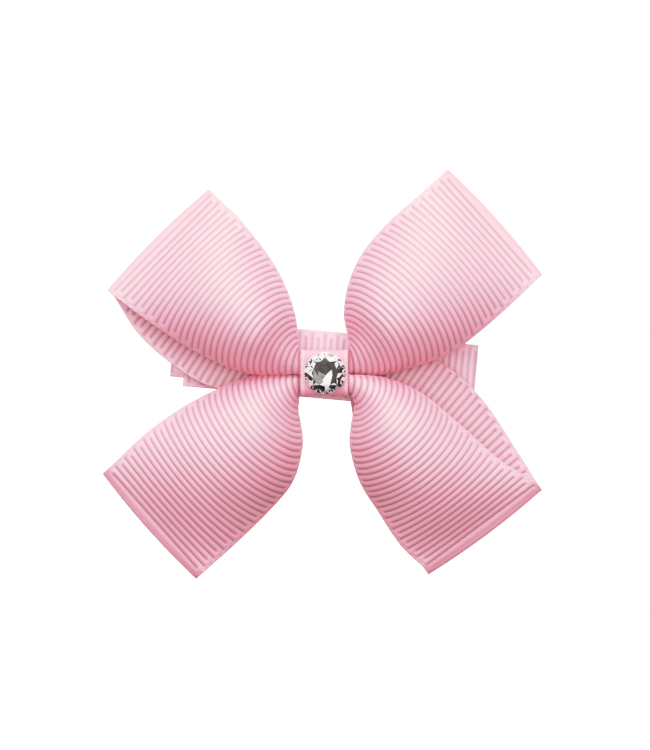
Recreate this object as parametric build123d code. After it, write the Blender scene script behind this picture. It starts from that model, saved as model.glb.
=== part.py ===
from build123d import *

import os
from math import cos, pi, radians, sin

import numpy as np

os.makedirs("parts", exist_ok=True)

# Hair bow: two loops of grosgrain ribbon crossed and gathered at a waist, held
# by a wrap with a crystal, and glued to a ribbon-lined alligator clip.
#
# The bow stands upright as it is worn. X runs along the wearer's left to right
# as seen from the front, Z is up, and the front faces -Y. The origin is in the
# mouth of the clip, where the hair is held, straight behind the bow.

# ---------------------------------------------------------------- dimensions
RIBBON_THICKNESS = 0.4
FOLD_RADIUS = 1.2          # half the depth of a loop at its outer fold
FOLD_CROWN = 0.5           # how far the middle of a fold stands outside its corners

WAIST_DEPTH = -5.4         # Y of the middle of the gathered waist
WAIST_DROP = -1.55         # Z of the middle of the bow, below the clip's line

WRAP_LEFT, WRAP_RIGHT = -3.8, 3.6
WRAP_DEPTH = 5.8
WRAP_HEIGHT = 7.2
WRAP_LIFT = 0.35           # the wrap's middle above the middle of the bow
WRAP_THICKNESS = 0.45
WRAP_CORNER = 1.4

CRYSTAL_DIAMETER = 6.6
CRYSTAL_HEIGHT = 2.5
TABLE_DIAMETER = 3.9
CROWN_REACH = 0.79         # the kite corners' distance from the axis, as a share of the radius
CROWN_RISE = 0.64          # and their height, as a share of the stone's height
GIRDLE = 0.35
FOIL = 0.12
FACETS = 8
CRYSTAL_LIFT = 0.27        # the stone's middle above the middle of the bow

CLIP_TILT = 5.2            # degrees the clip's right end hangs below its left end
TIP = 23.6                 # distance of the clip's closed end from the origin
TAIL = -21.8               # end of the lining on the upper arm's tail
TAIL_COVER = 0.2           # how far that lining runs past the steel
STEEL = 0.7
LINING = 0.5
LINING_WIDTH = 10.6
LEVER_LINING_WIDTH = 8.0
ARM_WIDTH = 8.2
LOWER_ARM_WIDTH = 5.8
OUTER_FACE = -1.8          # Y of the clip's front face, which carries the bow
MOUTH_FACE = -0.1          # Y of the lining inside the mouth
MOUTH_GAP = 0.1            # Y of the closed teeth
LINING_TURN_IN = -5.5      # where the lining inside the mouth ends
LOWER_ARM_LINE = [(23.3, 0.55), (22.4, 1.3), (-8.5, 5.6), (-23.4, 8.55)]
LEVER_WIDE_FROM = -13.5
LEVER_WIDTH = 7.4
LEVER_TURN_IN = 4.0
TEETH = 8
TOOTH_PITCH = 1.7
TOOTH_DEPTH = 0.8

HINGE_X, HINGE_Y = -9.5, 3.2
PIN_RADIUS = 0.7
PIN_CLEARANCE = 0.05
EAR_LENGTH = 5.6
EAR_THICKNESS = 0.6
EAR_RADIUS = 1.5
EAR_ROOT = 0.1             # how deep an ear starts in its plate
PIN_HEAD = 0.4
PIN_LIP = 0.45             # how far a pin head stands out round the shank

WIRE = 0.6
COIL_GAP = 0.06
COIL_RADIUS = 1.35
COIL_TURNS = 4.5
SPRING_FOOT = -18.0        # where the spring's legs press on the two tails
SPRING_GAP = 0.1

THREAD = 0.25
THREAD_CORNER = 0.95
THREAD_SLACK = 0.01        # gap between the thread and the wrap
THREAD_PLACES = [-1.3, -0.6, 0.1, 0.8]
GLUE_LAYER = 0.2
GLUE_PAD = (6.4, 6.0)
GLUE_PAD_CORNER = 1.2
GLUE_INSET = 0.5           # the glue stops short of the stone's edge
FOIL_INSET = 0.05

# ---------------------------------------------------------------- ribbon outlines
# Every loop has a front and a back layer. Each layer is bounded by two edges,
# listed as (x, z) from the waist out to the corner of the fold, about the
# middle of the bow. "low" is the edge on the loop's lower side.
UPPER_LEFT = {
    "front": {
        "low": [(-4.05, 0.35), (-11.7, 0.3), (-19.4, 3.3), (-27.2, 8.2), (-33.7, 13.1)],
        "high": [(-4.05, 3.2), (-4.8, 9.8), (-7.6, 16.6), (-12.9, 23.8), (-17.9, 28.8)],
    },
    "back": {
        "low": [(-4.05, -2.4), (-10.1, -3.0), (-17.3, -2.0), (-22.2, 0.5), (-28.8, 6.1), (-33.7, 13.1)],
        "high": [(-4.05, 3.05), (-5.9, 9.3), (-8.9, 16.3), (-14.0, 23.3), (-17.9, 28.8)],
    },
}
LOWER_RIGHT = {
    "front": {
        "low": [(3.85, -2.5), (4.7, -4.4), (4.15, -7.4), (3.9, -10.9)]
        + [(5.4, -16.5), (8.2, -21.1), (11.7, -26.4), (16.0, -30.9)],
        "high": [(3.85, -0.1), (9.3, -0.5), (14.8, -2.8), (21.0, -7.8), (27.2, -13.2), (33.7, -17.7)],
    },
    "back": {
        "low": [(3.85, -2.4), (5.1, -10.9), (6.7, -16.5), (9.3, -21.1), (12.4, -26.0), (16.0, -30.9)],
        "high": [(3.85, 3.05), (11.7, 3.4), (17.6, 2.2), (24.1, -3.3), (30.3, -12.4), (33.7, -17.7)],
    },
}
UPPER_RIGHT = {
    "front": {
        "low": [(3.85, 0.35), (8.5, 0.1), (13.2, 1.2), (19.4, 3.4), (24.1, 6.8), (28.8, 10.9), (33.7, 15.5)],
        "high": [(3.85, 3.2), (3.9, 4.8), (3.0, 9.5), (3.9, 14.8)]
        + [(6.1, 19.3), (10.1, 23.9), (14.8, 28.1), (19.0, 31.9)],
    },
    "back": {
        "low": [(3.85, -2.4), (12.4, 1.6), (18.8, 4.2), (23.5, 7.4), (28.2, 11.2), (33.7, 15.5)],
        "high": [(3.85, 3.05), (4.4, 9.3), (5.0, 14.4), (7.1, 18.9), (10.9, 23.3), (19.0, 31.9)],
    },
}
LOWER_LEFT = {
    "front": {
        "low": [(-4.05, -2.5), (-4.4, -4.3), (-3.8, -7.6), (-3.5, -10.9)]
        + [(-5.0, -16.5), (-8.6, -21.0), (-14.0, -26.3), (-19.9, -31.6)],
        "high": [(-4.05, -0.1), (-9.8, 0.0), (-14.0, -1.1), (-21.0, -4.4), (-27.2, -8.6), (-34.5, -15.2)],
    },
    "back": {
        "low": [(-4.05, -2.4), (-4.7, -10.9), (-6.1, -16.2), (-9.5, -20.7), (-14.6, -25.9), (-19.9, -31.6)],
        "high": [(-4.05, 2.2), (-9.0, 0.0), (-13.6, -1.8), (-20.6, -5.1), (-26.8, -9.1), (-34.5, -15.2)],
    },
}

# How a layer stands in depth, from the waist (0) to the fold (1): the depth of
# its edges, how far its middle bulges beyond them, how far its middle leads
# towards the fold, and half the angle that it bends through from edge to edge.
FRONT_SHAPE = {
    "edge": [(0.0, -1.6), (0.15, -1.5), (0.4, -2.0), (0.75, -2.2), (1.0, -1.2)],
    "bulge": [(0.0, 0.6), (0.1, 3.2), (0.25, 6.8), (0.5, 6.2), (0.8, 2.8), (1.0, 0.0)],
    "lead": [(0.0, 0.0), (0.15, 1.8), (0.35, 2.8), (0.6, 2.2), (0.85, 0.7), (1.0, 0.0)],
    "bend": [(0.0, 90.0), (0.3, 85.0), (0.6, 60.0), (1.0, 20.0)],
}
BACK_SHAPE = {
    "edge": [(0.0, 1.6), (0.4, 1.6), (0.75, 1.5), (1.0, 1.2)],
    "bulge": [(0.0, -0.1), (0.3, -0.4), (0.6, -0.6), (0.85, -0.3), (1.0, 0.0)],
    "lead": [(0.0, 0.0), (0.5, 0.4), (1.0, 0.0)],
    "bend": [(0.0, 90.0), (0.4, 80.0), (1.0, 20.0)],
}
# The inner ribbon lies between the two layers of the outer one at the waist.
INNER_SHIFT = {"front": 0.95, "back": -1.6}
INNER_REACH = 0.95         # share of a layer's length over which that shift fades

# Depth of the pressed layers in the middle of the waist: outer ribbon, inner ribbon.
CORE_DEPTH = {"front": (-1.75, -0.8), "back": (1.6, 0.35)}

LEAF_STATIONS = 13
ACROSS = 8
FOLD_STATIONS = 5
CORE_STATIONS = 3


def smooth(knots, at):
    """A smooth curve through knots of (position, value...), read at positions."""
    knots = np.array(knots, float)
    place, value = knots[:, 0], knots[:, 1:]
    slope = np.empty_like(value)
    slope[1:-1] = (value[2:] - value[:-2]) / (place[2:] - place[:-2])[:, None]
    slope[0] = (value[1] - value[0]) / (place[1] - place[0])
    slope[-1] = (value[-1] - value[-2]) / (place[-1] - place[-2])
    at = np.clip(np.asarray(at, float), place[0], place[-1])
    i = np.clip(np.searchsorted(place, at, side="right") - 1, 0, len(place) - 2)
    span = (place[i + 1] - place[i])[:, None]
    t = (at - place[i])[:, None] / span
    return (
        (2 * t**3 - 3 * t**2 + 1) * value[i]
        + (t**3 - 2 * t**2 + t) * span * slope[i]
        + (3 * t**2 - 2 * t**3) * value[i + 1]
        + (t**3 - t**2) * span * slope[i + 1]
    )


def edge_line(points, share):
    """Points at equal shares of the length of a smooth line through points."""
    points = np.array(points, float)
    steps = np.concatenate([[0], np.cumsum(np.hypot(*np.diff(points, axis=0).T))])
    fine = smooth(np.column_stack([steps, points]), np.linspace(0, steps[-1], 300))
    length = np.concatenate([[0], np.cumsum(np.hypot(*np.diff(fine, axis=0).T))])
    wanted = np.asarray(share) * length[-1]
    return np.column_stack([np.interp(wanted, length, fine[:, 0]), np.interp(wanted, length, fine[:, 1])])


def outward(loop):
    """The direction in the X-Z plane that a loop points, square to its fold."""
    low, high = np.array(loop["front"]["low"][-1]), np.array(loop["front"]["high"][-1])
    along = (high - low) / np.hypot(*(high - low))
    square = np.array([-along[1], along[0]])
    return square if square @ (low + high) > 0 else -square


def layer(loop, side, inner):
    """Rows of points across one layer of a loop, from the waist to the fold."""
    share = np.linspace(0, 1, LEAF_STATIONS)
    t = np.linspace(-1, 1, ACROSS + 1)
    shape = FRONT_SHAPE if side == "front" else BACK_SHAPE
    out = outward(loop)
    edges = []
    for name in ("low", "high"):
        points = [np.array(p) for p in loop[side][name]]
        points[-1] = points[-1] - FOLD_RADIUS * out
        edges.append(edge_line(points, share))
    low, high = edges
    edge_y, bulge, lead, bend = (smooth(shape[k], share)[:, 0] for k in ("edge", "bulge", "lead", "bend"))
    if inner:
        edge_y = edge_y + INNER_SHIFT[side] * np.clip(1 - share / INNER_REACH, 0, 1)
    rows = []
    for k in range(LEAF_STATIONS):
        half = (high[k] - low[k]) / 2
        ahead = np.array([-half[1], half[0]]) / np.hypot(*half)
        ahead = ahead if ahead @ out > 0 else -ahead
        angle = t * radians(bend[k])
        sideways = np.sin(angle) / sin(radians(bend[k]))
        rise = (np.cos(angle) - cos(radians(bend[k]))) / (1 - cos(radians(bend[k])))
        flat = (high[k] + low[k]) / 2 + sideways[:, None] * half + rise[:, None] * lead[k] * ahead
        depth = edge_y[k] - rise * bulge[k]
        rows.append(np.column_stack([flat[:, 0], depth, flat[:, 1]]))
    return rows


def fold(front_end, back_end, out):
    """Rows round the fold that joins the ends of a loop's two layers."""
    t = np.linspace(-1, 1, ACROSS + 1)
    rows = []
    for angle in np.linspace(0, pi, FOLD_STATIONS + 2)[1:-1]:
        share = (1 - cos(angle)) / 2
        row = front_end + (back_end - front_end) * share
        reach = sin(angle) ** 2 * (FOLD_RADIUS + FOLD_CROWN * (1 - t**2))
        rows.append(row + reach[:, None] * np.array([out[0], 0, out[1]]))
    return rows


def core(first, last, side, inner):
    """Rows that carry a layer through the waist, pressed flat between two loops."""
    rows = []
    for share in np.linspace(0, 1, CORE_STATIONS + 2)[1:-1]:
        row = first + (last - first) * share
        row[:, 1] += (CORE_DEPTH[side][inner] - row[:, 1]) * 4 * share * (1 - share)
        rows.append(row)
    return rows


def ring(first, second, inner):
    """One ribbon: out and back through the first loop, then through the second."""
    rows = []
    parts = []
    for loop in (first, second):
        front, back = layer(loop, "front", inner), layer(loop, "back", inner)
        parts.append((front, back, fold(front[-1], back[-1], outward(loop))))
    (front_a, back_a, fold_a), (front_b, back_b, fold_b) = parts
    rows += front_a + fold_a + back_a[::-1] + core(back_a[0], back_b[0], "back", inner)
    rows += back_b + fold_b[::-1] + front_b[::-1] + core(front_b[0], front_a[0], "front", inner)
    return np.array(rows)


def normals(rows):
    along = np.roll(rows, -1, axis=0) - np.roll(rows, 1, axis=0)
    across = np.gradient(rows, axis=1)
    square = np.cross(along, across)
    return square / np.linalg.norm(square, axis=2, keepdims=True)


def closed_band(rows, thickness):
    """A closed solid of even thickness about a ring of rows."""
    square = normals(rows)
    skins = [rows + square * thickness / 2, rows - square * thickness / 2]
    count, width = rows.shape[:2]
    faces = []

    def add(a, b, c, d):
        for corners in ((a, b, c), (a, c, d)):
            faces.append(Face(Wire.make_polygon([Vector(*p) for p in corners], close=True)))

    for i in range(count):
        j = (i + 1) % count
        for skin in skins:
            for k in range(width - 1):
                add(skin[i, k], skin[j, k], skin[j, k + 1], skin[i, k + 1])
        for k in (0, width - 1):
            add(skins[0][i, k], skins[0][j, k], skins[1][j, k], skins[1][i, k])
    return Solid(Shell(faces))


def at_bow(shape):
    return Pos(0, WAIST_DEPTH, WAIST_DROP) * shape


def at_clip(shape):
    return Rot(0, CLIP_TILT, 0) * shape


def save(shape, name):
    export_step(shape, f"parts/{name}.step")


# ---------------------------------------------------------------- bow
def rounded_block(depth, height, corner, left, right):
    """A block along X whose section in depth and height has round corners."""
    section = Plane.YZ.offset(left) * RectangleRounded(depth, height, corner)
    return extrude(section, right - left, dir=(1, 0, 0))


def make_wrap():
    outer = rounded_block(WRAP_DEPTH, WRAP_HEIGHT, WRAP_CORNER, WRAP_LEFT, WRAP_RIGHT)
    hole = rounded_block(
        WRAP_DEPTH - 2 * WRAP_THICKNESS,
        WRAP_HEIGHT - 2 * WRAP_THICKNESS,
        WRAP_CORNER - WRAP_THICKNESS,
        WRAP_LEFT - 1,
        WRAP_RIGHT + 1,
    )
    return at_bow(Pos(0, 0, WRAP_LIFT) * (outer - hole))


def make_thread():
    """Turns of thread that pull the ribbons together under the wrap."""
    depth = WRAP_DEPTH - 2 * (WRAP_THICKNESS + THREAD_SLACK)
    height = WRAP_HEIGHT - 2 * (WRAP_THICKNESS + THREAD_SLACK)
    turns = []
    for x in THREAD_PLACES:
        outer = rounded_block(depth, height, THREAD_CORNER, x, x + THREAD)
        inner = (depth - 2 * THREAD, height - 2 * THREAD, THREAD_CORNER - THREAD)
        hole = rounded_block(*inner, x - 1, x + 1)
        turns.append(at_bow(Pos(0, 0, WRAP_LIFT) * (outer - hole)))
    return Compound(turns)


def polyhedron(points, triangles):
    faces = []
    for corners in triangles:
        faces.append(Face(Wire.make_polygon([Vector(*points[c]) for c in corners], close=True)))
    return Solid(Shell(faces))


def circle_points(count, radius, height, turn=0.0):
    """Points round a circle that faces -Y, height in front of its base."""
    angles = [2 * pi * (k + turn) / count for k in range(count)]
    return [(radius * cos(a), -height, radius * sin(a)) for a in angles]


def make_crystal():
    """A flat-backed stone: girdle, kite facets, star facets and table."""
    n = FACETS
    radius = CRYSTAL_DIAMETER / 2
    points = circle_points(2 * n, radius, 0)
    points += circle_points(2 * n, radius, GIRDLE)
    points += circle_points(n, radius * CROWN_REACH, CRYSTAL_HEIGHT * CROWN_RISE, 0.5)
    points += circle_points(n, TABLE_DIAMETER / 2, CRYSTAL_HEIGHT, 0.0)
    points += [(0, 0, 0), (0, -CRYSTAL_HEIGHT, 0)]
    back, table = len(points) - 2, len(points) - 1
    triangles = []
    for k in range(2 * n):
        after = (k + 1) % (2 * n)
        triangles.append((back, after, k))
        triangles += [(k, after, 2 * n + after), (k, 2 * n + after, 2 * n + k)]
    for k in range(n):
        after = (k + 1) % n
        corner, corner_after = 2 * n + 2 * k, 2 * n + (2 * k + 2) % (2 * n)
        middle, kite, kite_before = corner + 1, 4 * n + k, 4 * n + (k - 1) % n
        star, star_after = 5 * n + k, 5 * n + after
        triangles += [(corner, middle, kite), (middle, corner_after, kite)]
        triangles += [(kite_before, corner, star), (corner, kite, star)]
        triangles += [(kite, star_after, star), (star, star_after, table)]
    return polyhedron(points, triangles)


def disc(radius, thickness):
    return Rot(90, 0, 0) * Cylinder(radius, thickness, align=(Align.CENTER, Align.CENTER, Align.MIN))


def make_bow():
    wrap_front = -WRAP_DEPTH / 2
    outer_ribbon = closed_band(ring(UPPER_LEFT, LOWER_RIGHT, False), RIBBON_THICKNESS)
    inner_ribbon = closed_band(ring(LOWER_LEFT, UPPER_RIGHT, True), RIBBON_THICKNESS)
    save(at_bow(outer_ribbon), "outer_ribbon")
    save(at_bow(inner_ribbon), "inner_ribbon")
    save(make_thread(), "waist_thread")
    save(make_wrap(), "centre_wrap")
    stone = Pos(0, wrap_front, CRYSTAL_LIFT)
    radius = CRYSTAL_DIAMETER / 2
    save(at_bow(stone * disc(radius - GLUE_INSET, GLUE_LAYER)), "crystal_glue")
    save(at_bow(stone * Pos(0, -GLUE_LAYER, 0) * disc(radius - FOIL_INSET, FOIL)), "crystal_foil")
    save(at_bow(stone * Pos(0, -GLUE_LAYER - FOIL, 0) * make_crystal()), "crystal")


# ---------------------------------------------------------------- clip
def across_clip(face, low, high):
    """A face in the X-Y plane, drawn out across the clip from low to high."""
    return Pos(0, 0, low) * extrude(face, high - low, dir=(0, 0, 1))


def upper_arm_profile(outer, inner, tail, inner_end):
    """Section of a layer that runs along the arm and round its closed end."""
    middle, end = (OUTER_FACE + MOUTH_FACE) / 2, TIP - (MOUTH_FACE - OUTER_FACE) / 2
    lines = [Line((tail, middle - outer), (end, middle - outer))]
    lines += [ThreePointArc((end, middle - outer), (end + outer, middle), (end, middle + outer))]
    lines += [Line((end, middle + outer), (inner_end, middle + outer))]
    if inner:
        lines += [Line((inner_end, middle + outer), (inner_end, middle + inner))]
        lines += [Line((inner_end, middle + inner), (end, middle + inner))]
        lines += [ThreePointArc((end, middle + inner), (end + inner, middle), (end, middle - inner))]
        lines += [Line((end, middle - inner), (tail, middle - inner))]
        lines += [Line((tail, middle - inner), (tail, middle - outer))]
    else:
        lines += [Line((inner_end, middle + outer), (tail, middle - outer))]
    return make_face(Wire(lines))


def ear_profile(root_y, length):
    """A hinge ear: a strip from the plate, rounded about the hinge pin."""
    radius = EAR_RADIUS
    foot = length / 2
    side = Polygon(
        (HINGE_X - foot, root_y),
        (HINGE_X + foot, root_y),
        (HINGE_X + radius, HINGE_Y),
        (HINGE_X - radius, HINGE_Y),
        align=None,
    )
    return side + Pos(HINGE_X, HINGE_Y) * Circle(radius)


def pin_hole(radius):
    return Pos(HINGE_X, HINGE_Y, 0) * Cylinder(radius, 2 * ARM_WIDTH)


def bent_strip(points, thickness):
    """Section of a bent sheet: a line of points thickened to both sides."""
    points = np.array(points, float)
    along = np.diff(points, axis=0)
    along /= np.hypot(*along.T)[:, None]
    square = np.column_stack([-along[:, 1], along[:, 0]])
    offsets = [square[0]]
    for before, after in zip(square[:-1], square[1:]):
        offsets.append((before + after) / (1 + before @ after))
    offsets = np.array(offsets + [square[-1]]) * thickness / 2
    outline = [tuple(p) for p in points + offsets] + [tuple(p) for p in (points - offsets)[::-1]]
    return Polygon(*outline, align=None)


def make_upper_arm():
    steel_end = TAIL + TAIL_COVER
    arm = across_clip(upper_arm_profile(STEEL / 2, 0, steel_end, steel_end), -ARM_WIDTH / 2, ARM_WIDTH / 2)
    plate_back = OUTER_FACE + LINING + STEEL
    for side in (-1, 1):
        near, far = side * (ARM_WIDTH / 2 - EAR_THICKNESS), side * ARM_WIDTH / 2
        arm += across_clip(ear_profile(plate_back - EAR_ROOT, EAR_LENGTH), min(near, far), max(near, far))
    return arm - pin_hole(PIN_RADIUS)


def make_lower_arm():
    half = LOWER_ARM_WIDTH / 2
    jaw_end, jaw_root, lever_end = LOWER_ARM_LINE[1], LOWER_ARM_LINE[2], LOWER_ARM_LINE[3]
    arm = across_clip(bent_strip(LOWER_ARM_LINE, STEEL), -half, half)
    slope = (lever_end[1] - jaw_root[1]) / (lever_end[0] - jaw_root[0])
    wide_from = (LEVER_WIDE_FROM, jaw_root[1] + slope * (LEVER_WIDE_FROM - jaw_root[0]))
    arm += across_clip(bent_strip([wide_from, lever_end], STEEL), -LEVER_WIDTH / 2, LEVER_WIDTH / 2)
    rise = (jaw_root[1] - jaw_end[1]) / (jaw_root[0] - jaw_end[0])
    first, count = jaw_end[0], TEETH
    teeth = []
    for k in range(count):
        start = first - k * TOOTH_PITCH
        teeth += [(start, MOUTH_GAP), (start - TOOTH_PITCH / 2, MOUTH_GAP + TOOTH_DEPTH)]
    end = first - count * TOOTH_PITCH
    skirt = Polygon(
        *teeth,
        (end, MOUTH_GAP + TOOTH_DEPTH),
        (end, jaw_end[1] + rise * (end - first)),
        (first, jaw_end[1]),
        align=None,
    )
    for side in (-1, 1):
        near, far = side * (half - EAR_THICKNESS), side * half
        low, high = min(near, far), max(near, far)
        arm += across_clip(skirt, low, high)
        arm += across_clip(ear_profile(jaw_root[1], EAR_LENGTH), low, high)
    return arm - pin_hole(PIN_RADIUS + PIN_CLEARANCE)


def make_lever_lining():
    """Ribbon over the back of the thumb lever, turned round its end."""
    root, end = np.array(LOWER_ARM_LINE[2]), np.array(LOWER_ARM_LINE[3])
    along = (end - root) / np.hypot(*(end - root))
    square = np.array([along[1], -along[0]])
    square = square if square[1] > 0 else -square
    gap = (STEEL + LINING) / 2
    start = root + along * (root[0] - LEVER_WIDE_FROM) / -along[0]
    turn = end + along * LINING / 2
    line = [start + square * gap, turn + square * gap, turn - square * gap]
    line.append(end - along * LEVER_TURN_IN - square * gap)
    half = LEVER_LINING_WIDTH / 2
    return across_clip(bent_strip(line, LINING), -half, half)


def make_pin():
    length = ARM_WIDTH + 2 * PIN_HEAD
    pin = Cylinder(PIN_RADIUS, length)
    for side in (-1, 1):
        pin += Pos(0, 0, side * (ARM_WIDTH + PIN_HEAD) / 2) * Cylinder(PIN_RADIUS + PIN_LIP, PIN_HEAD)
    return Pos(HINGE_X, HINGE_Y, 0) * pin


def rod(start, end, radius):
    start, end = Vector(*start), Vector(*end)
    return Plane(origin=start, z_dir=end - start) * Cylinder(
        radius, (end - start).length, align=(Align.CENTER, Align.CENTER, Align.MIN)
    )


def make_spring():
    """A torsion spring round the pin, its legs spreading the two tails."""
    pitch = WIRE + COIL_GAP
    length = pitch * COIL_TURNS
    path = Helix(pitch, length, COIL_RADIUS, lefthand=True)
    section = Plane(origin=path @ 0, z_dir=path % 0) * Circle(WIRE / 2)
    coil = sweep(section, path=path, is_frenet=True)
    coil = Pos(HINGE_X, HINGE_Y, -length / 2) * Rot(0, 0, 90) * coil
    upper_foot = OUTER_FACE + LINING + STEEL + WIRE / 2 + SPRING_GAP
    root, end = LOWER_ARM_LINE[2], LOWER_ARM_LINE[3]
    slope = (end[1] - root[1]) / (end[0] - root[0])
    lower_foot = root[1] + slope * (SPRING_FOOT - root[0]) - (STEEL + WIRE) / 2 - SPRING_GAP
    low, high = -length / 2, length / 2
    near_lever, near_arm = HINGE_Y + COIL_RADIUS, HINGE_Y - COIL_RADIUS
    spring = coil + rod((HINGE_X, near_lever, low), (SPRING_FOOT, lower_foot, low), WIRE / 2)
    return spring + rod((HINGE_X, near_arm, high), (SPRING_FOOT, upper_foot, high), WIRE / 2)


def make_glue_pad():
    """The glue between the wrap and the clip's lining."""
    pad_front = WAIST_DEPTH + WRAP_DEPTH / 2
    outline = RectangleRounded(*GLUE_PAD, GLUE_PAD_CORNER)
    pad = extrude(outline, OUTER_FACE - pad_front)
    return Pos(0, pad_front, WAIST_DROP + WRAP_LIFT) * Rot(-90, 0, 0) * pad


def make_arm_lining():
    """The lining glued round the upper arm, as one ribbon folded over the tip."""
    half_depth = (MOUTH_FACE - OUTER_FACE) / 2
    profile = upper_arm_profile(half_depth, STEEL / 2, TAIL, LINING_TURN_IN)
    return across_clip(profile, -LINING_WIDTH / 2, LINING_WIDTH / 2)


if __name__ == "__main__":
    make_bow()
    save(make_glue_pad(), "bow_glue")
    save(at_clip(make_upper_arm()), "upper_arm")
    save(at_clip(make_arm_lining()), "upper_arm_lining")
    save(at_clip(make_lower_arm()), "lower_arm")
    save(at_clip(make_lever_lining()), "lever_lining")
    save(at_clip(make_pin()), "hinge_pin")
    save(at_clip(make_spring()), "clip_spring")
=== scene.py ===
from math import cos, pi, radians, sin

import bmesh
import bpy
import numpy as np
from mathutils import Matrix, Vector


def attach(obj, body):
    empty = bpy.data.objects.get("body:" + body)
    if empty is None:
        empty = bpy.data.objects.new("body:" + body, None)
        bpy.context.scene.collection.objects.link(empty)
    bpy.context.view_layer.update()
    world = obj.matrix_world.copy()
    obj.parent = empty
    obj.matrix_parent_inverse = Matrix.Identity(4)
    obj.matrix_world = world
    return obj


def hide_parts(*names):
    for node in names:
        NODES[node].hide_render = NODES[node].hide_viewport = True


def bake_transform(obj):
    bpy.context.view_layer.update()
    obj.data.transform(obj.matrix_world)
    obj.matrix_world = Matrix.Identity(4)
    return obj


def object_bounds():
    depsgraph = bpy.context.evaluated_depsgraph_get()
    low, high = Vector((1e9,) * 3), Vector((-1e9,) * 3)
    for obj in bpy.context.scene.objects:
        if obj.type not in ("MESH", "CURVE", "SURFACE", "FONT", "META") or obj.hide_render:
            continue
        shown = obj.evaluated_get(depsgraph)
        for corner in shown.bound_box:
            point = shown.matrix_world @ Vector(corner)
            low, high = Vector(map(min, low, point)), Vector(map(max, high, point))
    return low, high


# Hair bow: gathered grosgrain loops, a wrapped waist with a crystal, and a
# ribbon-lined alligator clip behind it. Shapes are worked out in millimetres,
# as in the CAD source, and written to the meshes in metres.

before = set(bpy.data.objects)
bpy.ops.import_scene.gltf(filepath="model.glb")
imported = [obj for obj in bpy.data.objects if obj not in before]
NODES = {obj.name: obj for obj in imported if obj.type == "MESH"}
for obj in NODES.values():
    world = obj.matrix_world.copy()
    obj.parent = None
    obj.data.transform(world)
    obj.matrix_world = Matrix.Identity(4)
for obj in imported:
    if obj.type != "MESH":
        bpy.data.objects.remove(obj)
cad_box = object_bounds()
ROOT = "bow_and_upper_arm"
JAW = "lower_jaw"
MM = 0.001

rng = np.random.default_rng(7)

# ---------------------------------------------------------------- dimensions, mm
RIBBON_WIDTH = 22.0
RIBBON_THICKNESS = 0.4
FOLD_RADIUS = 1.2
FOLD_CROWN = 0.5
RIB_PITCH = 1.02
RIB_HEIGHT = 0.15
WAIST_DEPTH = -5.4
WAIST_DROP = -1.55
WRAP_LEFT, WRAP_RIGHT = -3.8, 3.6
WRAP_DEPTH = 5.8
WRAP_HEIGHT = 7.2
WRAP_LIFT = 0.35
WRAP_THICKNESS = 0.45
WRAP_CORNER = 1.4
CRYSTAL_RADIUS = 3.3
CRYSTAL_HEIGHT = 2.5
TABLE_RADIUS = 1.95
GIRDLE = 0.35
FOIL = 0.12
FACETS = 8
GLUE_LAYER = 0.2
CRYSTAL_LIFT = 0.27
CLIP_TILT = radians(5.2)
TIP = 23.6
TAIL = -21.8
OUTER_FACE = -1.8
MOUTH_FACE = -0.1
LINING = 0.5
LINING_WIDTH = 10.6
LEVER_LINING_WIDTH = 8.0
LINING_TURN_IN = -5.5
STEEL = 0.7
LEVER_LINE = [(-8.5, 5.6), (-23.4, 8.55)]
LEVER_WIDE_FROM = -13.5
LEVER_TURN_IN = 4.0
HINGE_X, HINGE_Y = -9.5, 3.2
WIRE = 0.6
COIL_RADIUS = 1.35
COIL_TURNS = 4.5
SPRING_FOOT = -18.0
SPRING_GAP = 0.1
PIN_RADIUS = 0.7
PIN_HEAD = 0.4
ARM_WIDTH = 8.2
THREAD = 0.25
THREAD_PLACES = [-1.3, -0.6, 0.1, 0.8]

# ---------------------------------------------------------------- ribbon outlines
# Each layer of a loop is bounded by two edges, listed as (x, z) from the waist
# out to the corner of the fold, about the middle of the bow.
UPPER_LEFT = {
    "front": {
        "low": [(-4.05, 0.35), (-11.7, 0.3), (-19.4, 3.3), (-27.2, 8.2), (-33.7, 13.1)],
        "high": [(-4.05, 3.2), (-4.8, 9.8), (-7.6, 16.6), (-12.9, 23.8), (-17.9, 28.8)],
    },
    "back": {
        "low": [(-4.05, -2.4), (-10.1, -3.0), (-17.3, -2.0), (-22.2, 0.5), (-28.8, 6.1), (-33.7, 13.1)],
        "high": [(-4.05, 3.05), (-5.9, 9.3), (-8.9, 16.3), (-14.0, 23.3), (-17.9, 28.8)],
    },
}
LOWER_RIGHT = {
    "front": {
        "low": [(3.85, -2.5), (4.7, -4.4), (4.15, -7.4), (3.9, -10.9)]
        + [(5.4, -16.5), (8.2, -21.1), (11.7, -26.4), (16.0, -30.9)],
        "high": [(3.85, -0.1), (9.3, -0.5), (14.8, -2.8), (21.0, -7.8), (27.2, -13.2), (33.7, -17.7)],
    },
    "back": {
        "low": [(3.85, -2.4), (5.1, -10.9), (6.7, -16.5), (9.3, -21.1), (12.4, -26.0), (16.0, -30.9)],
        "high": [(3.85, 3.05), (11.7, 3.4), (17.6, 2.2), (24.1, -3.3), (30.3, -12.4), (33.7, -17.7)],
    },
}
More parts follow.
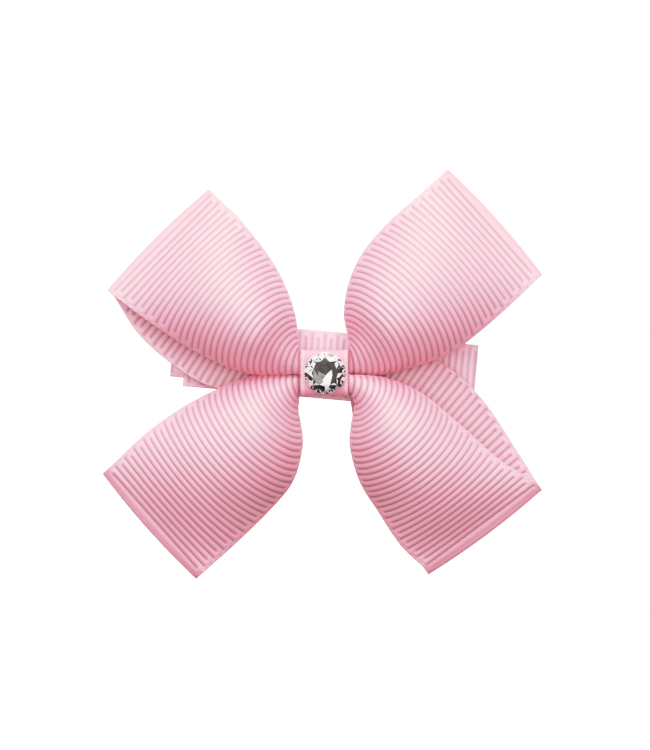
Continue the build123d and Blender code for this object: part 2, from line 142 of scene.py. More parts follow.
UPPER_RIGHT = {
    "front": {
        "low": [(3.85, 0.35), (8.5, 0.1), (13.2, 1.2), (19.4, 3.4), (24.1, 6.8), (28.8, 10.9), (33.7, 15.5)],
        "high": [(3.85, 3.2), (3.9, 4.8), (3.0, 9.5), (3.9, 14.8)]
        + [(6.1, 19.3), (10.1, 23.9), (14.8, 28.1), (19.0, 31.9)],
    },
    "back": {
        "low": [(3.85, -2.4), (12.4, 1.6), (18.8, 4.2), (23.5, 7.4), (28.2, 11.2), (33.7, 15.5)],
        "high": [(3.85, 3.05), (4.4, 9.3), (5.0, 14.4), (7.1, 18.9), (10.9, 23.3), (19.0, 31.9)],
    },
}
LOWER_LEFT = {
    "front": {
        "low": [(-4.05, -2.5), (-4.4, -4.3), (-3.8, -7.6), (-3.5, -10.9)]
        + [(-5.0, -16.5), (-8.6, -21.0), (-14.0, -26.3), (-19.9, -31.6)],
        "high": [(-4.05, -0.1), (-9.8, 0.0), (-14.0, -1.1), (-21.0, -4.4), (-27.2, -8.6), (-34.5, -15.2)],
    },
    "back": {
        "low": [(-4.05, -2.4), (-4.7, -10.9), (-6.1, -16.2), (-9.5, -20.7), (-14.6, -25.9), (-19.9, -31.6)],
        "high": [(-4.05, 2.2), (-9.0, 0.0), (-13.6, -1.8), (-20.6, -5.1), (-26.8, -9.1), (-34.5, -15.2)],
    },
}
FRONT_SHAPE = {
    "edge": [(0.0, -1.6), (0.15, -1.5), (0.4, -2.0), (0.75, -2.2), (1.0, -1.2)],
    "bulge": [(0.0, 0.6), (0.1, 3.2), (0.25, 6.8), (0.5, 6.2), (0.8, 2.8), (1.0, 0.0)],
    "lead": [(0.0, 0.0), (0.15, 1.8), (0.35, 2.8), (0.6, 2.2), (0.85, 0.7), (1.0, 0.0)],
    "bend": [(0.0, 90.0), (0.3, 85.0), (0.6, 60.0), (1.0, 20.0)],
}
BACK_SHAPE = {
    "edge": [(0.0, 1.6), (0.4, 1.6), (0.75, 1.5), (1.0, 1.2)],
    "bulge": [(0.0, -0.1), (0.3, -0.4), (0.6, -0.6), (0.85, -0.3), (1.0, 0.0)],
    "lead": [(0.0, 0.0), (0.5, 0.4), (1.0, 0.0)],
    "bend": [(0.0, 90.0), (0.4, 80.0), (1.0, 20.0)],
}
INNER_SHIFT = {"front": 0.95, "back": -1.6}
INNER_REACH = 0.95
CORE_DEPTH = {"front": (-1.75, -0.8), "back": (1.6, 0.35)}

LEAF_STATIONS = 34
FOLD_STATIONS = 11
CORE_STATIONS = 6
RIB_SAMPLES = (0.0, 0.12, 0.27, 0.5, 0.73, 0.88)   # phases of one rib that get a row


# ---------------------------------------------------------------- curves
def smooth(knots, at):
    """A smooth curve through knots of (position, value...), read at positions."""
    knots = np.asarray(knots, float)
    place, value = knots[:, 0], knots[:, 1:]
    slope = np.empty_like(value)
    slope[1:-1] = (value[2:] - value[:-2]) / (place[2:] - place[:-2])[:, None]
    slope[0] = (value[1] - value[0]) / (place[1] - place[0])
    slope[-1] = (value[-1] - value[-2]) / (place[-1] - place[-2])
    at = np.clip(np.asarray(at, float), place[0], place[-1])
    i = np.clip(np.searchsorted(place, at, side="right") - 1, 0, len(place) - 2)
    span = (place[i + 1] - place[i])[:, None]
    t = (at - place[i])[:, None] / span
    return (
        (2 * t**3 - 3 * t**2 + 1) * value[i]
        + (t**3 - 2 * t**2 + t) * span * slope[i]
        + (3 * t**2 - 2 * t**3) * value[i + 1]
        + (t**3 - t**2) * span * slope[i + 1]
    )


def lengths(points):
    return np.concatenate([[0], np.cumsum(np.linalg.norm(np.diff(points, axis=0), axis=1))])


def step(low, high, x):
    t = np.clip((x - low) / (high - low), 0, 1)
    return t * t * (3 - 2 * t)


def edge_line(points, share):
    """Points at equal shares of the length of a smooth line through points."""
    points = np.array(points, float)
    along = lengths(points)
    fine = smooth(np.column_stack([along, points]), np.linspace(0, along[-1], 300))
    length = lengths(fine)
    wanted = np.asarray(share) * length[-1]
    return np.column_stack([np.interp(wanted, length, fine[:, 0]), np.interp(wanted, length, fine[:, 1])])


# ---------------------------------------------------------------- loops of the bow
def outward(loop):
    low, high = np.array(loop["front"]["low"][-1]), np.array(loop["front"]["high"][-1])
    along = (high - low) / np.hypot(*(high - low))
    square = np.array([-along[1], along[0]])
    return square if square @ (low + high) > 0 else -square


def layer(loop, side, inner, t):
    """Rows of points across one layer of a loop, from the waist to the fold."""
    share = np.linspace(0, 1, LEAF_STATIONS)
    shape = FRONT_SHAPE if side == "front" else BACK_SHAPE
    out = outward(loop)
    edges = []
    for name in ("low", "high"):
        points = [np.array(p) for p in loop[side][name]]
        points[-1] = points[-1] - FOLD_RADIUS * out
        edges.append(edge_line(points, share))
    low, high = edges
    edge_y, bulge, lead, bend = (smooth(shape[k], share)[:, 0] for k in ("edge", "bulge", "lead", "bend"))
    if inner:
        edge_y = edge_y + INNER_SHIFT[side] * np.clip(1 - share / INNER_REACH, 0, 1)
    rows = []
    for k in range(LEAF_STATIONS):
        half = (high[k] - low[k]) / 2
        ahead = np.array([-half[1], half[0]]) / np.hypot(*half)
        ahead = ahead if ahead @ out > 0 else -ahead
        angle = t * radians(bend[k])
        sideways = np.sin(angle) / sin(radians(bend[k]))
        rise = (np.cos(angle) - cos(radians(bend[k]))) / (1 - cos(radians(bend[k])))
        flat = (high[k] + low[k]) / 2 + sideways[:, None] * half + rise[:, None] * lead[k] * ahead
        depth = edge_y[k] - rise * bulge[k]
        rows.append(np.column_stack([flat[:, 0], depth, flat[:, 1]]))
    return rows


def fold(front_end, back_end, out, t):
    """Rows round the fold that joins the ends of a loop's two layers."""
    rows = []
    for angle in np.linspace(0, pi, FOLD_STATIONS + 2)[1:-1]:
        share = (1 - cos(angle)) / 2
        row = front_end + (back_end - front_end) * share
        reach = sin(angle) ** 2 * (FOLD_RADIUS + FOLD_CROWN * (1 - t**2))
        rows.append(row + reach[:, None] * np.array([out[0], 0, out[1]]))
    return rows


def core(first, last, side, inner):
    """Rows that carry a layer through the waist, pressed flat between two loops."""
    rows = []
    for share in np.linspace(0, 1, CORE_STATIONS + 2)[1:-1]:
        row = first + (last - first) * share
        row[:, 1] += (CORE_DEPTH[side][inner] - row[:, 1]) * 4 * share * (1 - share)
        rows.append(row)
    return rows


def ring(first, second, inner, t):
    """One ribbon: out and back through the first loop, then through the second."""
    rows = []
    parts = []
    for loop in (first, second):
        front, back = layer(loop, "front", inner, t), layer(loop, "back", inner, t)
        parts.append((front, back, fold(front[-1], back[-1], outward(loop), t)))
    (front_a, back_a, fold_a), (front_b, back_b, fold_b) = parts
    rows += front_a + fold_a + back_a[::-1] + core(back_a[0], back_b[0], "back", inner)
    rows += back_b + fold_b[::-1] + front_b[::-1] + core(front_b[0], front_a[0], "front", inner)
    return np.array(rows)


def columns_for(width):
    """Places across a ribbon that get a column: close together at its edges."""
    half = width / 2
    edge = [0.0, 0.07, 0.2, 0.35, 0.5, 0.65, 0.85, 1.05, 1.3, 1.7]
    inside = np.linspace(0, half - edge[-1], max(3, round(half - edge[-1])) + 1)
    side = np.concatenate([inside, half - np.array(edge[:-1])[::-1]])
    return np.concatenate([-side[::-1], side[1:]])


def respaced(rows, closed, creases=(), pitch=RIB_PITCH):
    """Rows at the phases of whole ribs along a ribbon, each row's phase in ribs, the
    number of ribs, and how far in ribs each row is from the nearest creased row."""
    line = np.concatenate([rows, rows[:1]]) if closed else rows
    steps = np.linalg.norm(np.diff(line, axis=0), axis=2)
    along = np.concatenate([[0], np.cumsum(steps.mean(axis=1))])
    ribs = round(along[-1] / pitch)
    if closed:
        ribs += ribs % 2
    phase = (np.arange(ribs)[:, None] + np.array(RIB_SAMPLES)).ravel()
    if not closed:
        phase = np.append(phase, ribs)
    flat = line.reshape(len(line), -1)
    if closed:
        lead = 3
        flat = np.concatenate([flat[-1 - lead:-1], flat, flat[1:1 + lead]])
        before, after = along[-1 - lead:-1] - along[-1], along[1:1 + lead] + along[-1]
        along = np.concatenate([before, along, after])
        total = along[-1 - lead]
    else:
        total = along[-1]
    made = smooth(np.column_stack([along, flat]), phase * total / ribs)
    far = np.full(len(phase), 99.0)
    for row in creases:
        place = along[row + (lead if closed else 0)] * ribs / total
        far = np.minimum(far, np.abs(phase - place))
    return made.reshape(len(phase), -1, 3), phase, ribs, far


def relief_and_painted_shade(phase, across, width, crease):
    """Height from 0 to 1 of a grosgrain's face: ribs that end in pairs, a beaded rim, and ribs ironed flat
    beside a crease. The same height sets painted shade: the colour is darker where the height is low."""
    p, w = np.meshgrid(phase, np.abs(across), indexing="ij")
    inset = width / 2 - w
    wave = np.abs(np.sin(pi * p))
    groove = 1 - wave**1.2
    long_groove = np.round(p) % 2
    reach = long_groove * step(0.45, 0.7, inset) + (1 - long_groove) * step(0.95, 1.35, inset)
    ironed = 0.3 + 0.7 * step(0.8, 1.5, crease)[:, None]
    rim_line = 0.45 * np.exp(-(((inset - 0.5) / 0.12) ** 2)) * (0.3 + 0.7 * wave)
    beads = 0.5 * (1 - wave) * step(0.5, 0.3, inset)
    height = 1 - (groove * reach + rim_line + beads) * ironed
    return np.clip(height, 0, 1) * (0.35 + 0.65 * step(0.0, 0.15, inset))


def face_normals(rows, closed):
    if closed:
        along = np.roll(rows, -1, axis=0) - np.roll(rows, 1, axis=0)
    else:
        along = np.gradient(rows, axis=0)
    square = np.cross(along, np.gradient(rows, axis=1))
    return square / np.linalg.norm(square, axis=2, keepdims=True)


# ---------------------------------------------------------------- mesh making
def new_object(name, points, faces, smooth_shading=True):
    mesh = bpy.data.meshes.new(name)
    mesh.from_pydata([tuple(p) for p in points], [], [tuple(f) for f in faces])
    mesh.validate()
    if smooth_shading:
        mesh.shade_smooth()
    obj = bpy.data.objects.new(name, mesh)
    bpy.context.scene.collection.objects.link(obj)
    return obj


def add_attribute(obj, name, values):
    layer_made = obj.data.attributes.new(name, "FLOAT", "POINT")
    layer_made.data.foreach_set("value", np.asarray(values, np.float32).ravel())


def band(name, rows, phase, width, across, thickness, rib_height, closed, crease):
    """A ribbon with two ribbed faces about the given rows, in millimetres."""
    square = face_normals(rows, closed)
    height = relief_and_painted_shade(phase, across, width, crease)
    lift = (thickness / 2 - rib_height + rib_height * height)[:, :, None] * square
    count, columns = rows.shape[:2]
    skins = np.concatenate([rows + lift, rows - lift]).reshape(-1, 3) * MM
    number = np.arange(count * columns).reshape(count, columns)
    after = np.roll(number, -1, axis=0) if closed else number[1:]
    here = number if closed else number[:-1]
    quads = np.stack([here[:, :-1], here[:, 1:], after[:, 1:], after[:, :-1]], axis=-1).reshape(-1, 4)
    shift = count * columns
    faces = [quads, quads[:, ::-1] + shift]
    for column, flip in ((0, 1), (columns - 1, -1)):
        low, high = here[:, column], after[:, column]
        side = np.stack([low, high, high + shift, low + shift], axis=-1)
        faces.append(side[:, ::flip])
    if not closed:
        for row, flip in ((0, -1), (count - 1, 1)):
            line = number[row]
            end = np.stack([line[:-1], line[1:], line[1:] + shift, line[:-1] + shift], axis=-1)
            faces.append(end[:, ::flip])
    obj = new_object(name, skins, np.concatenate(faces))
    # this height also carries the painted shade in the grooves
    add_attribute(obj, "relief_and_painted_shade", np.concatenate([height, height]))
    along = np.repeat(phase[:, None], columns, axis=1) * RIB_PITCH
    sideways = np.repeat(across[None, :], count, axis=0)
    add_attribute(obj, "along", np.concatenate([along, along]))
    add_attribute(obj, "across", np.concatenate([sideways, sideways]))
    return obj


def tube(name, path, radius, sides=10, closed=False):
    """A round wire along a path of points in millimetres."""
    path = np.asarray(path, float)
    if closed:
        tangent = np.roll(path, -1, axis=0) - np.roll(path, 1, axis=0)
    else:
        tangent = np.gradient(path, axis=0)
    tangent /= np.linalg.norm(tangent, axis=1, keepdims=True)
    side = np.cross(tangent[0], (0.3, 0.2, 0.9))
    rings = []
    for point, direction in zip(path, tangent):
        side = side - direction * (side @ direction)
        side /= np.linalg.norm(side)
        other = np.cross(direction, side)
        turn = np.linspace(0, 2 * pi, sides, endpoint=False)[:, None]
        rings.append(point + radius * (np.cos(turn) * side + np.sin(turn) * other))
    points = np.concatenate(rings) * MM
    count = len(path)
    faces = []
    for i in range(count if closed else count - 1):
        j = (i + 1) % count
        for k in range(sides):
            m = (k + 1) % sides
            faces.append((i * sides + k, i * sides + m, j * sides + m, j * sides + k))
    if not closed:
        faces.append(tuple(range(sides))[::-1])
        faces.append(tuple((count - 1) * sides + k for k in range(sides)))
    return new_object(name, points, faces)


def rounded_loop(depth, height, corner, count):
    """Points (y, z) round a rectangle with round corners, evenly spaced."""
    flat = []
    for cy, cz, start in ((1, 1, 0), (-1, 1, 90), (-1, -1, 180), (1, -1, 270)):
        for a in np.radians(np.linspace(start, start + 90, 12)):
            y = cy * (depth / 2 - corner) + corner * cos(a)
            z = cz * (height / 2 - corner) + corner * sin(a)
            flat.append((y, z))
    flat = np.array(flat + flat[:1])
    length = lengths(flat)
    at = np.linspace(0, length[-1], count, endpoint=False)
    return np.column_stack([np.interp(at, length, flat[:, 0]), np.interp(at, length, flat[:, 1])])


def to_bow(points):
    return np.asarray(points, float) + (0, WAIST_DEPTH, WAIST_DROP)


def to_clip(points):
    """Turns points about Y from the clip's own line to its tilted place."""
    points = np.asarray(points, float)
    turned = points.copy()
    turned[..., 0] = points[..., 0] * cos(CLIP_TILT) + points[..., 2] * sin(CLIP_TILT)
    turned[..., 2] = -points[..., 0] * sin(CLIP_TILT) + points[..., 2] * cos(CLIP_TILT)
    return turned


def cad_copy(node, bevel):
    """The CAD node's own shape with its sharp edges rounded by bevel millimetres."""
    obj = bpy.data.objects.new(node + "_finished", NODES[node].data.copy())
    bpy.context.scene.collection.objects.link(obj)
    work = bmesh.new()
    work.from_mesh(obj.data)
    bmesh.ops.remove_doubles(work, verts=work.verts, dist=1e-6)
    bmesh.ops.dissolve_limit(work, angle_limit=radians(1), verts=work.verts, edges=work.edges)
    work.to_mesh(obj.data)
    work.free()
    rounding = obj.modifiers.new("rounding", "BEVEL")
    rounding.width = bevel * MM
    rounding.segments = 2
    rounding.limit_method = "ANGLE"
    rounding.angle_limit = radians(35)
    rounding.harden_normals = False
    obj.data.shade_smooth()
    weighted = obj.modifiers.new("even_shading", "WEIGHTED_NORMAL")
    weighted.keep_sharp = True
    return obj


# ---------------------------------------------------------------- materials
class Nodes:
    """A material's node tree, with short calls for the nodes used here."""

    def __init__(self, name):
        self.material = bpy.data.materials.new(name)
        self.material.use_nodes = True
        self.tree = self.material.node_tree
        self.shader = self.tree.nodes["Principled BSDF"]

    def add(self, kind, **settings):
        made = self.tree.nodes.new(kind)
        for key, value in settings.items():
            setattr(made, key, value)
        return made

    def link(self, source, target):
        self.tree.links.new(source, target)

    def attribute(self, name):
        return self.add("ShaderNodeAttribute", attribute_name=name).outputs["Fac"]

    def math(self, operation, a, b=None):
        made = self.add("ShaderNodeMath", operation=operation)
        for socket, value in zip(made.inputs, (a, b)):
            if value is None:
                continue
            if isinstance(value, (int, float)):
                socket.default_value = value
            else:
                self.link(value, socket)
        return made.outputs[0]

    def noise(self, scale, detail=2.0, vector=None):
        made = self.add("ShaderNodeTexNoise")
        made.inputs["Scale"].default_value = scale
        made.inputs["Detail"].default_value = detail
        if vector is None:
            vector = self.add("ShaderNodeTexCoord").outputs["Object"]
        self.link(vector, made.inputs["Vector"])
        return made.outputs["Fac"]

    def ramp(self, factor, stops):
        made = self.add("ShaderNodeValToRGB")
        ramp = made.color_ramp
        while len(ramp.elements) < len(stops):
            ramp.elements.new(0.5)
        for element, (place, colour) in zip(ramp.elements, stops):
            element.position = place
            element.color = (*colour, 1)
        self.link(factor, made.inputs["Fac"])
        return made.outputs["Color"]

    def mix(self, kind, factor, a, b):
        made = self.add("ShaderNodeMix", data_type="RGBA", blend_type=kind)
        for socket, value in ((made.inputs[0], factor), (made.inputs[6], a), (made.inputs[7], b)):
            if isinstance(value, (int, float)):
                socket.default_value = value
            elif isinstance(value, tuple):
                socket.default_value = (*value, 1)
            else:
                self.link(value, socket)
        return made.outputs[2]

    def spread(self, factor, low, high):
        made = self.add("ShaderNodeMapRange")
        made.inputs["To Min"].default_value = low
        made.inputs["To Max"].default_value = high
        self.link(factor, made.inputs["Value"])
        return made.outputs["Result"]

    def bump(self, height, strength, distance):
        made = self.add("ShaderNodeBump")
        made.inputs["Strength"].default_value = strength
        made.inputs["Distance"].default_value = distance
        self.link(height, made.inputs["Height"])
        self.link(made.outputs["Normal"], self.shader.inputs["Normal"])

    def set(self, **values):
        for key, value in values.items():
            self.shader.inputs[key.replace("_", " ")].default_value = value


PINK_CREST = (0.92, 0.31, 0.40)
# groove colour: painted shade in the rib grooves, darker and greyer than the crest
PINK_GROOVE_PAINTED_SHADE = (0.36, 0.12, 0.17)


def grosgrain(name, crest=PINK_CREST, groove=PINK_GROOVE_PAINTED_SHADE):
    """Ribbed polyester ribbon: fine warp threads over ribs, with a soft sheen, and painted shade that darkens
    the colour in the grooves.
    """
    n = Nodes(name)
    height = n.attribute("relief_and_painted_shade")
    place = n.add("ShaderNodeCombineXYZ")
    n.link(n.attribute("along"), place.inputs["X"])
    n.link(n.attribute("across"), place.inputs["Y"])
    middle = tuple((a + b) / 2 for a, b in zip(crest, groove))
    # painted shade: colour runs from the crest colour down to the darker groove colour where the relief is
    # low
    ribs = n.ramp(height, [(0.0, groove), (0.4, middle), (0.85, crest)])
    warp = n.math("SINE", n.math("MULTIPLY", n.attribute("across"), 2 * pi / 0.24))
    yarn = n.noise(5.0, 3.0, place.outputs["Vector"])
    cloud = n.noise(0.35, 2.0, place.outputs["Vector"])
    tone = n.math("ADD", n.math("MULTIPLY", warp, 0.015), n.spread(yarn, 0.95, 1.05))
    tone = n.math("MULTIPLY", tone, n.spread(cloud, 0.96, 1.04))
    shade = n.add("ShaderNodeCombineXYZ")
    for axis in "XYZ":
        n.link(tone, shade.inputs[axis])
    colour = n.mix("MULTIPLY", 1.0, ribs, shade.outputs["Vector"])
    n.link(colour, n.shader.inputs["Base Color"])
    n.link(n.spread(yarn, 0.42, 0.52), n.shader.inputs["Roughness"])
    n.bump(n.math("ADD", n.math("MULTIPLY", warp, 0.5), yarn), 0.25, 0.00004)
    n.set(Sheen_Weight=0.08, Sheen_Roughness=0.5, Specular_IOR_Level=1.0, IOR=1.6)
    n.set(Sheen_Tint=(1.0, 0.88, 0.92, 1.0))
    return n.material


def satin_wrap(name):
    n = Nodes(name)
    place = n.add("ShaderNodeCombineXYZ")
    n.link(n.attribute("along"), place.inputs["X"])
    n.link(n.attribute("across"), place.inputs["Y"])
    yarn = n.noise(7.0, 3.0, place.outputs["Vector"])
    weft = n.math("SINE", n.math("MULTIPLY", n.attribute("along"), 2 * pi / 0.28))
    warp = n.math("SINE", n.math("MULTIPLY", n.attribute("across"), 2 * pi / 0.22))
    # painted light and shade: the wrap's colour is darker where its relief is low, in the middle, and lighter
    # on the raised edges
    stops = [(0.0, (0.78, 0.24, 0.34)), (0.6, (0.84, 0.31, 0.41)), (1.0, (0.88, 0.38, 0.48))]
    colour = n.ramp(n.attribute("relief_and_painted_shade"), stops)
    tone = n.spread(yarn, 0.94, 1.05)
    shade = n.add("ShaderNodeCombineXYZ")
    for axis in "XYZ":
        n.link(tone, shade.inputs[axis])
    n.link(n.mix("MULTIPLY", 1.0, colour, shade.outputs["Vector"]), n.shader.inputs["Base Color"])
    n.link(n.spread(yarn, 0.55, 0.7), n.shader.inputs["Roughness"])
    n.bump(n.math("ADD", n.math("MULTIPLY", weft, warp), yarn), 0.3, 0.00004)
    n.set(Sheen_Weight=0.2, Sheen_Roughness=0.4, Specular_IOR_Level=0.4)
    return n.material


def polyester_thread(name):
    n = Nodes(name)
    fibre = n.noise(9000, 3.0)
    n.link(n.ramp(fibre, [(0.3, (0.75, 0.4, 0.48)), (0.7, (0.93, 0.6, 0.68))]), n.shader.inputs["Base Color"])
    n.link(n.spread(fibre, 0.45, 0.7), n.shader.inputs["Roughness"])
    n.bump(fibre, 0.4, 0.00005)
    n.set(Sheen_Weight=0.2)
    return n.material


def nickel_steel(name):
    """Bright nickel plate on pressed steel, with fine scratches and dulling."""
    n = Nodes(name)
    coords = n.add("ShaderNodeTexCoord").outputs["Object"]
    stretch = n.add("ShaderNodeMapping")
    stretch.inputs["Scale"].default_value = (60, 2500, 2500)
    n.link(coords, stretch.inputs["Vector"])
    scratch = n.noise(1.0, 4.0, stretch.outputs["Vector"])
    cloud = n.noise(350, 3.0)
    stops = [(0.3, (0.62, 0.61, 0.59)), (0.7, (0.78, 0.77, 0.75))]
    n.link(n.ramp(cloud, stops), n.shader.inputs["Base Color"])
    rough = n.math("ADD", n.spread(scratch, 0.1, 0.26), n.math("MULTIPLY", cloud, 0.08))
    n.link(rough, n.shader.inputs["Roughness"])
    n.bump(scratch, 0.12, 0.00002)
    n.set(Metallic=1.0)
    return n.material


def spring_wire(name):
    n = Nodes(name)
    drawn = n.noise(2500, 3.0)
    n.link(n.ramp(drawn, [(0.3, (0.42, 0.41, 0.4)), (0.7, (0.6, 0.59, 0.57))]), n.shader.inputs["Base Color"])
    n.link(n.spread(drawn, 0.22, 0.42), n.shader.inputs["Roughness"])
    n.bump(drawn, 0.15, 0.00002)
    n.set(Metallic=1.0)
    return n.material


def crystal_painted_reflections(name):
    """Cut crystal over foil: each facet's colour is a painted reflection, light or dark, under a clear gloss.
    """
    n = Nodes(name)
    # tone holds each facet's painted reflection, from black to white
    tone = n.attribute("tone")
    painted_reflection = n.math("ADD", tone, n.spread(n.noise(1400, 2.0), -0.08, 0.08))
    # painted reflections: near-black, brown-black, grey and white facets
    stops = [(0.0, (0.006, 0.006, 0.007)), (0.3, (0.055, 0.048, 0.044)), (0.6, (0.30, 0.28, 0.26))]
    stops += [(1.0, (0.95, 0.96, 0.97))]
    n.link(n.ramp(painted_reflection, stops), n.shader.inputs["Base Color"])
    n.set(Metallic=0.0, Roughness=0.12, IOR=1.45, Specular_IOR_Level=0.1)
    return n.material


def foil_silver(name):
    """The silvered backing, a little dulled by handling."""
    n = Nodes(name)
    grain = n.noise(3000, 2.0)
    n.link(n.ramp(grain, [(0.3, (0.72, 0.71, 0.7)), (0.7, (0.9, 0.9, 0.9))]), n.shader.inputs["Base Color"])
    n.link(n.spread(grain, 0.12, 0.3), n.shader.inputs["Roughness"])
    n.set(Metallic=1.0)
    return n.material


def hot_glue(name):
    n = Nodes(name)
    cloud = n.noise(900, 3.0)
    n.link(n.ramp(cloud, [(0.3, (0.8, 0.76, 0.68)), (0.7, (0.92, 0.9, 0.84))]), n.shader.inputs["Base Color"])
    n.link(n.spread(cloud, 0.15, 0.35), n.shader.inputs["Roughness"])
    n.bump(cloud, 0.3, 0.0001)
    n.set(Transmission_Weight=0.35, IOR=1.48, Subsurface_Weight=0.2)
    return n.material


def pale_floor(name):
    """A white light table: it glows a little where the camera sees it."""
    n = Nodes(name)
    cloud = n.noise(6, 2.0)
    stops = [(0.0, (0.16, 0.16, 0.16)), (1.0, (0.19, 0.19, 0.19))]
    n.link(n.ramp(cloud, stops), n.shader.inputs["Base Color"])
    glow = n.add("ShaderNodeLightPath").outputs["Is Camera Ray"]
    n.link(n.math("MULTIPLY", glow, 2.0), n.shader.inputs["Emission Strength"])
    n.set(Roughness=0.9, Specular_IOR_Level=0.1, Emission_Color=(1, 1, 1, 1))
    return n.material


RIBBON = grosgrain("grosgrain_pink")
# the second colour is the painted shade of the lining's grooves
LINING_RIBBON = grosgrain("lining_grosgrain", (0.93, 0.4, 0.5), (0.62, 0.24, 0.32))
SATIN = satin_wrap("wrap_ribbon_pink")
THREAD_PINK = polyester_thread("thread_pink")
NICKEL = nickel_steel("nickel_plated_steel")
WIRE_STEEL = spring_wire("drawn_wire")
CRYSTAL = crystal_painted_reflections("crystal_painted_reflections")
SILVER = foil_silver("silver_foil")
GLUE = hot_glue("hot_glue")
FLOOR_PAINT = pale_floor("pale_floor")


def finish_piece(obj, body, material, slot, *nodes):
    """Gives a piece its material, and its body unless it rides on two. The slot argument is not used."""
    obj.data.materials.clear()
    obj.data.materials.append(material)
    if body:
        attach(obj, body)
    if nodes:
        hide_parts(*nodes)
    return obj


# ---------------------------------------------------------------- ribbons
def make_ribbon(name, first, second, inner, node):
    across = columns_for(RIBBON_WIDTH)
    t = across / across[-1]
    first_crease = LEAF_STATIONS + FOLD_STATIONS // 2
    creases = (first_crease, first_crease + 2 * LEAF_STATIONS + CORE_STATIONS + FOLD_STATIONS)
    rows, phase, ribs, crease = respaced(ring(first, second, inner, t), True, creases)
    obj = band(name, to_bow(rows), phase, RIBBON_WIDTH, across, RIBBON_THICKNESS, RIB_HEIGHT, True, crease)
    finish_piece(obj, ROOT, RIBBON, "ribbon", node)
    return obj


def make_wrap():
    """The narrow smooth ribbon round the waist, drawn in a little at its middle."""
    count = 150
    section = rounded_loop(
        WRAP_DEPTH - WRAP_THICKNESS, WRAP_HEIGHT - WRAP_THICKNESS, WRAP_CORNER - WRAP_THICKNESS / 2, count
    )
    width = WRAP_RIGHT - WRAP_LEFT
    across = np.linspace(-width / 2, width / 2, 31)
    middle = (WRAP_LEFT + WRAP_RIGHT) / 2
    rows = np.empty((count, len(across), 3))
    angle = np.linspace(0, 2 * pi, count, endpoint=False)
    for i, (y, z) in enumerate(section):
        pinch = 1 - 0.025 * (1 - (across / across[-1]) ** 2)
        wave = 0.035 * np.sin(3.1 * across / across[-1] + 2.0 * sin(angle[i]))
        rows[i, :, 0] = middle + across
        rows[i, :, 1] = y * pinch
        rows[i, :, 2] = z * pinch + WRAP_LIFT + wave * abs(z) / WRAP_HEIGHT
    inset = width / 2 - np.abs(across)
    edge = step(0.75, 0.45, inset) * step(0.0, 0.12, inset)
    height = np.repeat((0.45 + 0.55 * edge)[None, :], count, axis=0)
    square = face_normals(rows, True)
    lift = (WRAP_THICKNESS / 2 - 0.1 + 0.1 * height)[:, :, None] * square
    number = np.arange(count * len(across)).reshape(count, -1)
    after = np.roll(number, -1, axis=0)
    quads = np.stack([number[:, :-1], number[:, 1:], after[:, 1:], after[:, :-1]], axis=-1).reshape(-1, 4)
    shift = number.size
    faces = [quads, quads[:, ::-1] + shift]
    for column, flip in ((0, 1), (len(across) - 1, -1)):
        low, high = number[:, column], after[:, column]
        side = np.stack([low, high, high + shift, low + shift], axis=-1)
        faces.append(side[:, ::flip])
    points = to_bow(np.concatenate([rows + lift, rows - lift]).reshape(-1, 3)) * MM
    obj = new_object("waist_wrap", points, np.concatenate(faces))
    along = np.repeat(np.linspace(0, 22.0, count)[:, None], len(across), axis=1)
    # this height also carries the painted shade and highlight of the wrap's colour
    add_attribute(obj, "relief_and_painted_shade", np.concatenate([height, height]))
    add_attribute(obj, "along", np.concatenate([along, along]))
    add_attribute(obj, "across", np.tile(across, 2 * count))
    finish_piece(obj, ROOT, SATIN, "wrap_ribbon", "centre_wrap")
    return obj


def make_thread():
    """Turns of sewing thread that gather the ribbons under the wrap."""
    depth = WRAP_DEPTH - 2 * WRAP_THICKNESS - THREAD - 0.02
    height = WRAP_HEIGHT - 2 * WRAP_THICKNESS - THREAD - 0.02
    loop = rounded_loop(depth, height, 0.82, 80)
    turns = []
    for x in THREAD_PLACES:
        path = np.column_stack([np.full(len(loop), x + THREAD / 2), loop[:, 0], loop[:, 1] + WRAP_LIFT])
        turns.append(tube("turn", to_bow(path), THREAD / 2, 8, True))
    obj = joined("gathering_thread", turns)
    finish_piece(obj, ROOT, THREAD_PINK, "thread", "waist_thread")


def joined(name, objects):
    """One object from several, with its parts in one mesh."""
    work = bmesh.new()
    for obj in objects:
        work.from_mesh(obj.data)
        bpy.data.objects.remove(obj)
    mesh = bpy.data.meshes.new(name)
    work.to_mesh(mesh)
    work.free()
    mesh.shade_smooth()
    made = bpy.data.objects.new(name, mesh)
    bpy.context.scene.collection.objects.link(made)
    return made


# ---------------------------------------------------------------- crystal
def circle_points(count, radius, height, turn=0.0):
    angles = [2 * pi * (k + turn) / count for k in range(count)]
    return [(radius * cos(a), -height, radius * sin(a)) for a in angles]


def doubled_ring(inner, outer, count):
    """Triangles from a ring of count points out to a ring of twice as many."""
    faces = []
    for k in range(count):
        m = (k + 1) % count
        here, middle, after = outer + 2 * k, outer + 2 * k + 1, outer + (2 * k + 2) % (2 * count)
        faces += [(inner + k, middle, here), (inner + k, inner + m, middle), (inner + m, after, middle)]
    return faces


